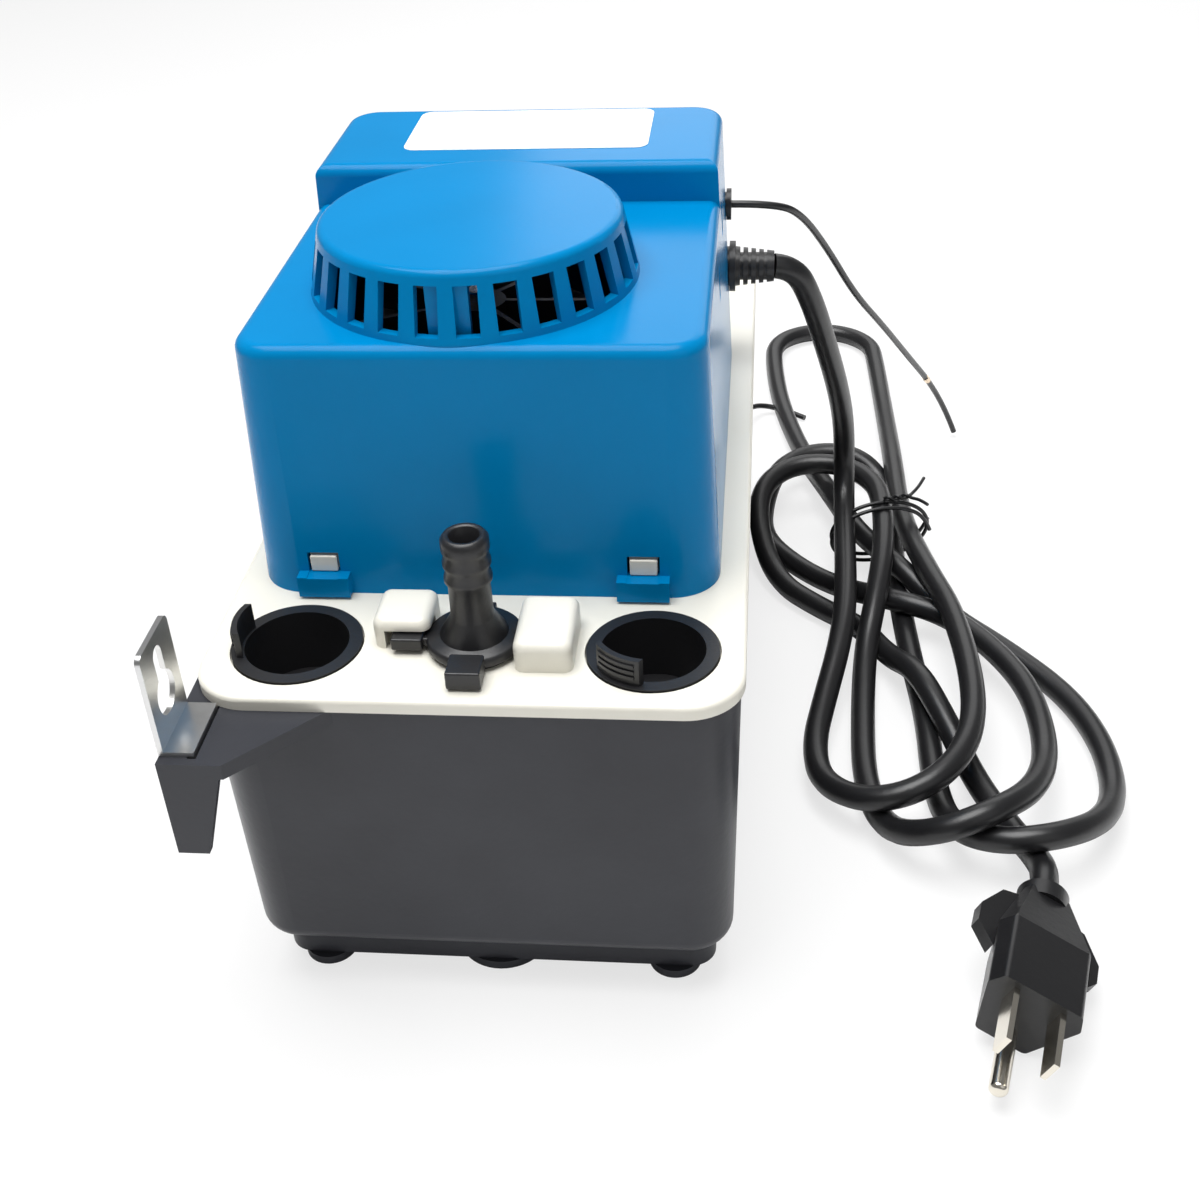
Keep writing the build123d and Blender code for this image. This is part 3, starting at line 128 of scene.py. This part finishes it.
# ------------------------------------------------------------------ tank
# The tank is one moulded box of dark grey plastic with its hanging ears, on moulded feet.
# Every moulded plastic shares a fine mould grain, and metals share fine scratches.
def grain_group():
    """A fine bump for moulded or rolled surfaces: scale, stretch and strength give a normal."""
    group = bpy.data.node_groups.new("surface_grain", "ShaderNodeTree")
    group.interface.new_socket("Scale", in_out="INPUT", socket_type="NodeSocketFloat")
    group.interface.new_socket("Stretch", in_out="INPUT", socket_type="NodeSocketVector")
    group.interface.new_socket("Height", in_out="INPUT", socket_type="NodeSocketFloat")
    group.interface.new_socket("Normal", in_out="OUTPUT", socket_type="NodeSocketVector")
    entry = group.nodes.new("NodeGroupInput")
    leave = group.nodes.new("NodeGroupOutput")
    place = group.nodes.new("ShaderNodeTexCoord")
    stretch = group.nodes.new("ShaderNodeVectorMath")
    stretch.operation = "MULTIPLY"
    noise = group.nodes.new("ShaderNodeTexNoise")
    noise.inputs["Detail"].default_value = 4.0
    bump = group.nodes.new("ShaderNodeBump")
    bump.inputs["Distance"].default_value = 0.0004
    group.links.new(place.outputs["Object"], stretch.inputs[0])
    group.links.new(entry.outputs["Stretch"], stretch.inputs[1])
    group.links.new(stretch.outputs[0], noise.inputs["Vector"])
    group.links.new(entry.outputs["Scale"], noise.inputs["Scale"])
    group.links.new(noise.outputs["Fac"], bump.inputs["Height"])
    group.links.new(entry.outputs["Height"], bump.inputs["Strength"])
    group.links.new(bump.outputs["Normal"], leave.inputs["Normal"])
    return group


surface_grain = grain_group()


def finish(name, colour, shade, roughness, grain_scale=900.0, grain_stretch=(1, 1, 1), grain_height=0.12,
           metallic=0.0, specular=0.5):
    """A plain finish: a base colour that drifts to a shade of it, with a fine grain in its normal."""
    material = bpy.data.materials.new(name)
    material.use_nodes = True
    tree = material.node_tree
    shader = tree.nodes["Principled BSDF"]
    shader.inputs["Roughness"].default_value = roughness
    shader.inputs["Metallic"].default_value = metallic
    shader.inputs["Specular IOR Level"].default_value = specular
    place = tree.nodes.new("ShaderNodeTexCoord")
    cloud = tree.nodes.new("ShaderNodeTexNoise")
    cloud.inputs["Scale"].default_value = 28.0
    cloud.inputs["Detail"].default_value = 5.0
    tree.links.new(place.outputs["Object"], cloud.inputs["Vector"])
    ramp = tree.nodes.new("ShaderNodeValToRGB")
    ramp.color_ramp.elements[0].position = 0.3
    ramp.color_ramp.elements[1].position = 0.75
    ramp.color_ramp.elements[0].color = (*shade, 1)
    ramp.color_ramp.elements[1].color = (*colour, 1)
    tree.links.new(cloud.outputs["Fac"], ramp.inputs["Fac"])
    tree.links.new(ramp.outputs["Color"], shader.inputs["Base Color"])
    fine = tree.nodes.new("ShaderNodeGroup")
    fine.node_tree = surface_grain
    fine.inputs["Scale"].default_value = grain_scale
    fine.inputs["Stretch"].default_value = grain_stretch
    fine.inputs["Height"].default_value = grain_height
    tree.links.new(fine.outputs["Normal"], shader.inputs["Normal"])
    return material


def dress(material, *names):
    """Gives the solids of some nodes one finish."""
    for name in names:
        for slot in nodes[name].material_slots:
            slot.material = material


tank_plastic = finish("tank_plastic", (0.043, 0.045, 0.053), (0.033, 0.034, 0.040), 0.33,
                      grain_scale=500.0, grain_height=0.14, specular=0.26)
dress(tank_plastic, "tank", "tank_feet")

# ------------------------------------------------------------------ deck
# The deck is a glossy cream moulding that lies on the tank's rim and carries the motor,
# the plugs and the check valve.
cream_plastic = finish("cream_plastic", (0.80, 0.78, 0.70), (0.77, 0.745, 0.66), 0.3,
                       grain_scale=800.0, grain_height=0.06)
dress(cream_plastic, "deck")

# ------------------------------------------------------------------ motor cover
# The cover is a thin shell of glossy blue plastic with a vent dome over the motor. It snaps
# over the deck's latch tabs.
blue_plastic = finish("blue_plastic", (0.0, 0.200, 0.470), (0.0, 0.185, 0.435), 0.20,
                      grain_scale=700.0, grain_height=0.04, specular=0.09)
dress(blue_plastic, "motor_cover")

# ------------------------------------------------------------------ inlet plugs, bushings and switches
# Cup plugs press into the inlets. They share one black moulded plastic with the cord's
# strain relief, the lead bushings, the switch cases and the motor's fan.
black_plastic = finish("black_plastic", (0.016, 0.016, 0.018), (0.011, 0.011, 0.012), 0.38)
dress(black_plastic, "inlet_plug_left", "inlet_plug_right", "inlet_plug_rear", "strain_relief",
      "lead_bushing", "lead_bushing_rear", "run_switch", "alarm_switch", "cooling_fan")

# ------------------------------------------------------------------ wall brackets and motor bridges
# Wall brackets, the switch bracket and the motor's bearing bridges are stamped from
# zinc-plated sheet, rolled along its length.
zinc_plate = finish("zinc_plate", (0.72, 0.71, 0.68), (0.55, 0.56, 0.58), 0.30,
                    grain_scale=500.0, grain_stretch=(1, 1, 6), grain_height=0.15, metallic=1.0)
dress(zinc_plate, "wall_bracket_front", "wall_bracket_rear", "switch_bracket", "bearing_bridge_lower",
      "bearing_bridge_upper")

# ------------------------------------------------------------------ motor
# A stack of steel sheets with four copper coils; its steel shaft turns in two bronze
# bearings, and four long screws hold it to the deck's posts.
stator_steel = finish("stator_steel", (0.30, 0.31, 0.33), (0.2, 0.2, 0.22), 0.45,
                      grain_scale=250.0, grain_stretch=(1, 1, 20), grain_height=0.4, metallic=1.0)
copper_wire = finish("copper_wire", (0.62, 0.24, 0.08), (0.45, 0.16, 0.05), 0.30,
                     grain_scale=300.0, grain_stretch=(1, 1, 12), grain_height=0.5, metallic=1.0)
bright_steel = finish("bright_steel", (0.72, 0.72, 0.72), (0.6, 0.6, 0.61), 0.22,
                      grain_scale=600.0, grain_stretch=(1, 1, 8), grain_height=0.10, metallic=1.0)
bearing_bronze = finish("bearing_bronze", (0.55, 0.36, 0.14), (0.42, 0.27, 0.10), 0.4, metallic=1.0)
dress(stator_steel, "motor_stator", "rotor_core")
dress(copper_wire, "motor_coil_1", "motor_coil_2", "motor_coil_3", "motor_coil_4")
dress(bright_steel, "motor_screws", "motor_shaft", "run_switch_lever", "alarm_switch_lever",
      "float_pivot_pin")
dress(bearing_bronze, "bearing_lower", "bearing_upper")

# ------------------------------------------------------------------ pump and float
# The pump's column, housing and impeller are dark grey plastic, and so is the float's arm.
# The float is a block of pale closed foam, and the seals are soft black rubber.
pump_plastic = finish("pump_plastic", (0.05, 0.05, 0.055), (0.035, 0.035, 0.04), 0.45)
float_foam = finish("float_foam", (0.62, 0.58, 0.48), (0.52, 0.48, 0.40), 0.8,
                    grain_scale=160.0, grain_height=0.6)
seal_rubber = finish("seal_rubber", (0.02, 0.02, 0.02), (0.012, 0.012, 0.012), 0.7)
dress(pump_plastic, "pump_column", "volute_housing", "volute_plate", "discharge_tube", "impeller",
      "float_arm", "check_valve_ball")
dress(float_foam, "float_block")
dress(seal_rubber, "check_valve_seal", "shaft_slinger")

# ------------------------------------------------------------------ check valve
# A round stem, disc and ridged hose tail of black plastic, with four arms in one moulding.
# Three arms end in blocks, and those to the left and right stand under the deck's lugs.
millimetre = 0.001
deck_top = 98.9
valve_x, valve_y = 0.5, -106.0
valve_profile = [(9.9, -16.8), (9.9, 0.6), (11.6, 1.3), (11.6, 3.3), (11.0, 3.9), (7.8, 4.3), (6.4, 5.4),
                 (5.5, 7.4), (5.1, 10.5), (5.0, 18.5), (5.7, 19.4), (5.7, 20.3), (5.1, 22.4), (5.7, 23.6),
                 (5.7, 24.4), (5.2, 26.6), (5.7, 27.6), (5.7, 30.3), (4.9, 31.4), (4.0, 31.5), (3.6, 31.1),
                 (3.6, 12.0), (8.4, 4.0), (8.4, -16.8)]


def add_block(shape, low, high):
    """A box between two corners, given in millimetres, in a shape that is being built."""
    corners = bmesh.ops.create_cube(shape, size=1.0)["verts"]
    for corner in corners:
        place = [low[k] + (corner.co[k] + 0.5) * (high[k] - low[k]) for k in range(3)]
        corner.co = Vector(place) * millimetre


def finish_shape(shape, name, material, edge_round, body):
    """Turns a built shape into a piece with rounded edges that rides on a body."""
    bmesh.ops.recalc_face_normals(shape, faces=shape.faces)
    data = bpy.data.meshes.new(name)
    shape.to_mesh(data)
    shape.free()
    for polygon in data.polygons:
        polygon.use_smooth = True
    piece = bpy.data.objects.new(name, data)
    bpy.context.collection.objects.link(piece)
    rounding = piece.modifiers.new("rounding", "BEVEL")
    rounding.width = edge_round * millimetre
    rounding.segments = 3
    rounding.limit_method = "ANGLE"
    rounding.angle_limit = math.radians(50)
    rounding.harden_normals = True
    data.materials.append(material)
    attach(piece, body)
    return piece


valve_shape = bmesh.new()
rings = []
valve_steps = 72
for radius, height in valve_profile:
    ring = []
    for step in range(valve_steps):
        angle = math.tau * step / valve_steps
        place = Vector((valve_x + radius * math.cos(angle), valve_y + radius * math.sin(angle),
                        deck_top + height))
        ring.append(valve_shape.verts.new(place * millimetre))
    rings.append(ring)
for ring, following in zip(rings, rings[1:] + rings[:1]):
    for step in range(valve_steps):
        after = (step + 1) % valve_steps
        valve_shape.faces.new((ring[step], ring[after], following[after], following[step]))
arm_low, arm_high = 1.4, 3.6
block_low, block_high = 1.2, 4.4
# Each box of the arms lies between two corners, measured from the valve's axis and the deck's top.
arm_boxes = [
    ((-12.5, -2.9, arm_low), (-7.0, 2.9, arm_high)),
    ((-19.6, -4.6, block_low), (-12.0, 3.6, block_high)),
    ((7.0, -3.4, arm_low), (13.5, 3.4, arm_high)),
    ((12.5, -3.8, block_low), (19.6, 3.8, block_high)),
    ((-3.0, -11.5, arm_low), (3.0, -7.0, arm_high)),
    ((-4.1, -18.4, 0.6), (4.1, -10.6, 5.3)),
    ((-3.4, 7.0, arm_low), (3.4, 13.2, arm_high)),
]
valve_seat = Vector((valve_x, valve_y, deck_top))
for low, high in arm_boxes:
    add_block(valve_shape, valve_seat + Vector(low), valve_seat + Vector(high))
valve_body = finish_shape(valve_shape, "valve_body", black_plastic, 0.5, "check_valve")
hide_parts("check_valve_body")

# ------------------------------------------------------------------ latch faces
# The deck's two latch tabs show through the cover's windows. Each gets a cream face that
# stands flush with the cover's front.
latch_face_depth = 1.5
latch_face_height = 4.5
latch_face_inset = 0.1
latch_face_gap = 0.02
# The tabs are the deck's points beyond these places, in metres from the pump's middle.
tab_aside, tab_front, tab_back, tab_bottom = 0.03, -0.094, -0.08, 0.104
for side, side_name in ((-1, "left"), (1, "right")):
    tab_points = [vertex.co for vertex in nodes["deck"].data.vertices
                  if side * vertex.co.x > tab_aside and tab_front < vertex.co.y < tab_back
                  and vertex.co.z > tab_bottom]
    tab_low = [min(point[k] for point in tab_points) / millimetre for k in range(3)]
    tab_high = [max(point[k] for point in tab_points) / millimetre for k in range(3)]
    latch_shape = bmesh.new()
    add_block(latch_shape, (tab_low[0] + latch_face_inset, tab_low[1] - latch_face_depth,
                            tab_high[2] - latch_face_inset - latch_face_height),
              (tab_high[0] - latch_face_inset, tab_low[1] - latch_face_gap, tab_high[2] - latch_face_inset))
    finish_shape(latch_shape, f"latch_face_{side_name}", cream_plastic, 0.4, "housing")

# ------------------------------------------------------------------ power cord
# A round black rubber cord leaves the housing's side, falls to the floor, runs through a loose
# tied hank of four long lobes and two small loops, and ends in its grounded plug.
cord_rubber = finish("cord_rubber", (0.013, 0.013, 0.014), (0.008, 0.008, 0.009), 0.34,
                     grain_scale=600.0, grain_height=0.10)
plug_nickel = finish("plug_nickel", (0.78, 0.74, 0.66), (0.66, 0.62, 0.54), 0.2,
                     grain_scale=500.0, grain_height=0.06, metallic=1.0)
dress(cord_rubber, "plug_body")
dress(plug_nickel, "plug_blades", "plug_ground_pin")


def cord_curve(name, route, diameter, material):
    """A cord along its route, given in millimetres, as one smooth open spline."""
    curve = bpy.data.curves.new(name, "CURVE")
    curve.dimensions = "3D"
    curve.bevel_depth = diameter / 2
    curve.bevel_resolution = 6
    curve.resolution_u = 8
    curve.use_fill_caps = True
    spline = curve.splines.new("NURBS")
    spline.points.add(len(route) - 1)
    for point, place in zip(spline.points, route):
        point.co = (*(Vector(place) * millimetre), 1.0)
    spline.order_u = 3
    spline.use_endpoint_u = True
    piece = bpy.data.objects.new(name, curve)
    bpy.context.collection.objects.link(piece)
    curve.materials.append(material)
    return piece


relief_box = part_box("strain_relief")
cord_exit = Vector((relief_box[1][0], (relief_box[0][1] + relief_box[1][1]) / 2,
                    (relief_box[0][2] + relief_box[1][2]) / 2)) / millimetre
cord_diameter = 0.0076
# The routes' points are in millimetres. The last tail points lead into the plug's neck.
fall = [tuple(cord_exit), (77, 53, 127.5), (82.5, 58, 115), (88, 70, 94), (93.5, 84, 71), (97, 97, 50),
        (98, 99, 31), (98, 85, 18.5)]
front_left_lobe = [(97, 32, 18), (94, 10, 15), (89, -11, 10), (85, -31, 7.5), (87, -50, 8.5),
                   (100, -62, 12.5), (116, -61, 17.5), (129, -46, 20), (134, -20, 20),
                   (132, 23, 18.5), (125, 51, 18)]
rear_lobe = [(119, 93, 13), (119, 137, 12), (119, 192, 5), (118, 238, 4), (117, 257, 4), (104, 270, 4),
             (86, 270, 4), (73, 257, 4), (73, 234, 4), (76, 197, 4), (85, 153, 4), (94, 114, 11),
             (103, 83, 12.5), (116, 60, 14)]
right_lobe = [(132, 43, 5), (150, 24, 4), (166, 1, 4), (173, -22, 4), (173, -45, 5), (166, -65, 11),
              (151, -79, 17.5), (134, -80, 15.5), (123, -67, 8.5), (120.5, -44, 4), (121, -13, 4),
              (118, 21, 4)]
outer_loop = [(116, 62, 5), (117, 101, 4), (117, 130, 4), (106, 141, 12), (88, 142, 13), (74, 131, 11),
              (69, 111, 7), (69, 92, 4), (81, 73, 4), (96, 58, 5)]
middle_lobe = [(112, 42, 12), (130, 35, 11), (144, 16, 11), (153, -8, 12), (154, -36, 12), (147, -60, 18),
               (133, -76, 23), (117, -79, 17), (105, -67, 6), (100, -44, 4), (101, -11, 4), (103, 18, 8)]
inner_loop = [(107, 36, 16), (111, 62, 20), (112, 90, 20), (110, 107, 20), (98, 121, 19.5), (80, 121, 19),
              (68, 108, 17), (67, 88, 11), (74, 63, 4), (89, 47, 4)]
tail = [(103, 36, 4), (111, 18, 5), (118, 0, 14), (125, -20, 11), (133, -42, 4), (141, -63, 4.5),
        (146, -79, 8.5), (145.7, -90.8, 13.7), (143.8, -98.6, 13.7)]
hank = front_left_lobe + rear_lobe + right_lobe + outer_loop + middle_lobe + inner_loop
power_cord = cord_curve("power_cord", fall + hank + tail, cord_diameter, cord_rubber)
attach(power_cord, "housing")
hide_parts("power_cord_run", "power_cord_hank", "power_cord_tail")

# ------------------------------------------------------------------ wire tie
# A thin black ribbon passes twice round the hank's waist, and its two ends are twisted
# together on top, where they spread apart.
waist = Vector((111.0, 84.0, 12.7))
band_steps, band_turns = 12, 2
band_half_width, band_half_height = 18.0, 11.8
band_slant, band_advance = 0.3, 0.35
ribbon_route = []
for step in range(band_steps * band_turns + 1):
    angle = math.tau * step / band_steps
    aside = band_half_width * math.cos(angle)
    ribbon_route.append((waist.x + aside,
                         waist.y + band_slant * aside + band_advance * (step - band_steps),
                         waist.z + band_half_height * math.sin(angle)))
tie_band = cord_curve("tie_band", ribbon_route, 0.0014, cord_rubber)
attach(tie_band, "housing")
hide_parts("cord_tie")
twist_start = waist + Vector((1.0, 1.5, 12.3))
twist_steps, twist_radius, twist_turn = 12, 0.8, 0.9
twist_rise_across, twist_rise_along = 0.9, 0.25
# Each end: where on the twist it starts, and how far it spreads sideways at its last two points.
for end_number, (phase, spreads) in enumerate(((0.0, (-3, -7)), (math.pi, (4, 9)))):
    twist = []
    for step in range(twist_steps):
        angle = phase + twist_turn * step
        twist.append(twist_start + Vector((twist_rise_across * step,
                                           twist_rise_along * step + twist_radius * math.cos(angle),
                                           twist_radius * math.sin(angle))))
    last = twist[-1]
    twist.append(last + Vector((3, spreads[0], 1)))
    twist.append(last + Vector((5, spreads[1], 1.5)))
    twist_end = cord_curve(f"tie_end_{end_number + 1}", twist, 0.0012, cord_rubber)
    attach(twist_end, "housing")

# ------------------------------------------------------------------ safety switch leads
# Two thin black insulated leads come out of rubber bushings. The long one shows bare tinned
# strands before its last bit of insulation.
lead_diameter = 0.0022
tinned_copper = finish("tinned_copper", (0.80, 0.66, 0.50), (0.60, 0.46, 0.32), 0.3,
                       grain_height=0.2, metallic=1.0)
bushing_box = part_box("lead_bushing")
lead_exit = Vector((bushing_box[1][0], (bushing_box[0][1] + bushing_box[1][1]) / 2,
                    (bushing_box[0][2] + bushing_box[1][2]) / 2)) / millimetre
long_lead_steps = ((13.4, 0, 1), (21.4, 9.6, 0.952), (30.4, 28.5, 0.825), (40.4, 43.2, 0.679),
                   (52.4, 65, 0.533), (64.4, 91.6, 0.368), (76.4, 116.2, 0.21),
                   (85.4, 127.1, 0.083), (89.4, 128.5, 0.0152))
long_route = [tuple(lead_exit)] + [(lead_exit.x + across, lead_exit.y + along, share * lead_exit.z)
                                   for across, along, share in long_lead_steps]
lead_long = cord_curve("lead_long", long_route, lead_diameter, cord_rubber)
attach(lead_long, "housing")
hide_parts("lead_wire_long")
# The bare strands show for a few millimetres, as long as the cut in the insulation.
line_only = lead_long.data.copy()
line_only.bevel_depth = 0.0
line_holder = bpy.data.objects.new("line_only", line_only)
line_mesh = bpy.data.meshes.new_from_object(line_holder)
line = [vertex.co.copy() for vertex in line_mesh.vertices]
bpy.data.objects.remove(line_holder)
slug_length, gap_length = 0.038, 0.005
walked, strand_points = 0.0, []
for ahead, behind in zip(reversed(line[1:]), reversed(line[:-1])):
    walked += (ahead - behind).length
    if slug_length <= walked <= slug_length + gap_length:
        strand_points.append(behind / millimetre)
bare_strands = cord_curve("bare_strands", strand_points, 0.0026, tinned_copper)
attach(bare_strands, "housing")

rear_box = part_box("lead_bushing_rear")
rear_exit = Vector(((rear_box[0][0] + rear_box[1][0]) / 2, rear_box[1][1],
                    (rear_box[0][2] + rear_box[1][2]) / 2)) / millimetre
short_lead_steps = ((0, 10, 1), (1, 24.9, 0.993), (3, 50.3, 0.92), (5, 74.8, 0.747),
                    (7, 87.8, 0.507), (10, 98.7, 0.267), (15, 121, 0.067), (26, 142.5, 0.016),
                    (42, 130.5, 0.0093))
short_route = [tuple(rear_exit)] + [(rear_exit.x + across, rear_exit.y - 1.7 + along, share * rear_exit.z)
                                    for across, along, share in short_lead_steps]
lead_short = cord_curve("lead_short", short_route, lead_diameter, cord_rubber)
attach(lead_short, "housing")
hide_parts("lead_wire_short")

# ------------------------------------------------------------------ label
# A blank white paper sticker with round corners lies on the cover's raised block, whose top
# is a little lower than the dome, the cover's highest point.
block_below_dome = 0.0058
label_thickness = 0.00015
label_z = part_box("motor_cover")[1][2] - block_below_dome
label_paper = finish("label_paper", (0.86, 0.86, 0.84), (0.83, 0.83, 0.81), 0.4,
                     grain_scale=1200.0, grain_height=0.03)
label_left, label_right, label_front, label_back = -0.034, 0.035, 0.022, 0.056
label_corner = 0.0035
label_outline = []
for centre_x, centre_y, start in ((label_right - label_corner, label_back - label_corner, 0),
                                  (label_left + label_corner, label_back - label_corner, 90),
                                  (label_left + label_corner, label_front + label_corner, 180),
                                  (label_right - label_corner, label_front + label_corner, 270)):
    for step in range(7):
        angle = math.radians(start + 15 * step)
        label_outline.append((centre_x + label_corner * math.cos(angle),
                              centre_y + label_corner * math.sin(angle)))
label_mesh = bmesh.new()
label_face = label_mesh.faces.new([label_mesh.verts.new((x, y, label_z)) for x, y in label_outline])
grown = bmesh.ops.extrude_face_region(label_mesh, geom=[label_face])
for vertex in grown["geom"]:
    if isinstance(vertex, bmesh.types.BMVert):
        vertex.co.z += label_thickness
bmesh.ops.recalc_face_normals(label_mesh, faces=label_mesh.faces)
label_data = bpy.data.meshes.new("label")
label_mesh.to_mesh(label_data)
label_mesh.free()
label = bpy.data.objects.new("label", label_data)
bpy.context.collection.objects.link(label)
label_data.materials.append(label_paper)
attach(label, "housing")
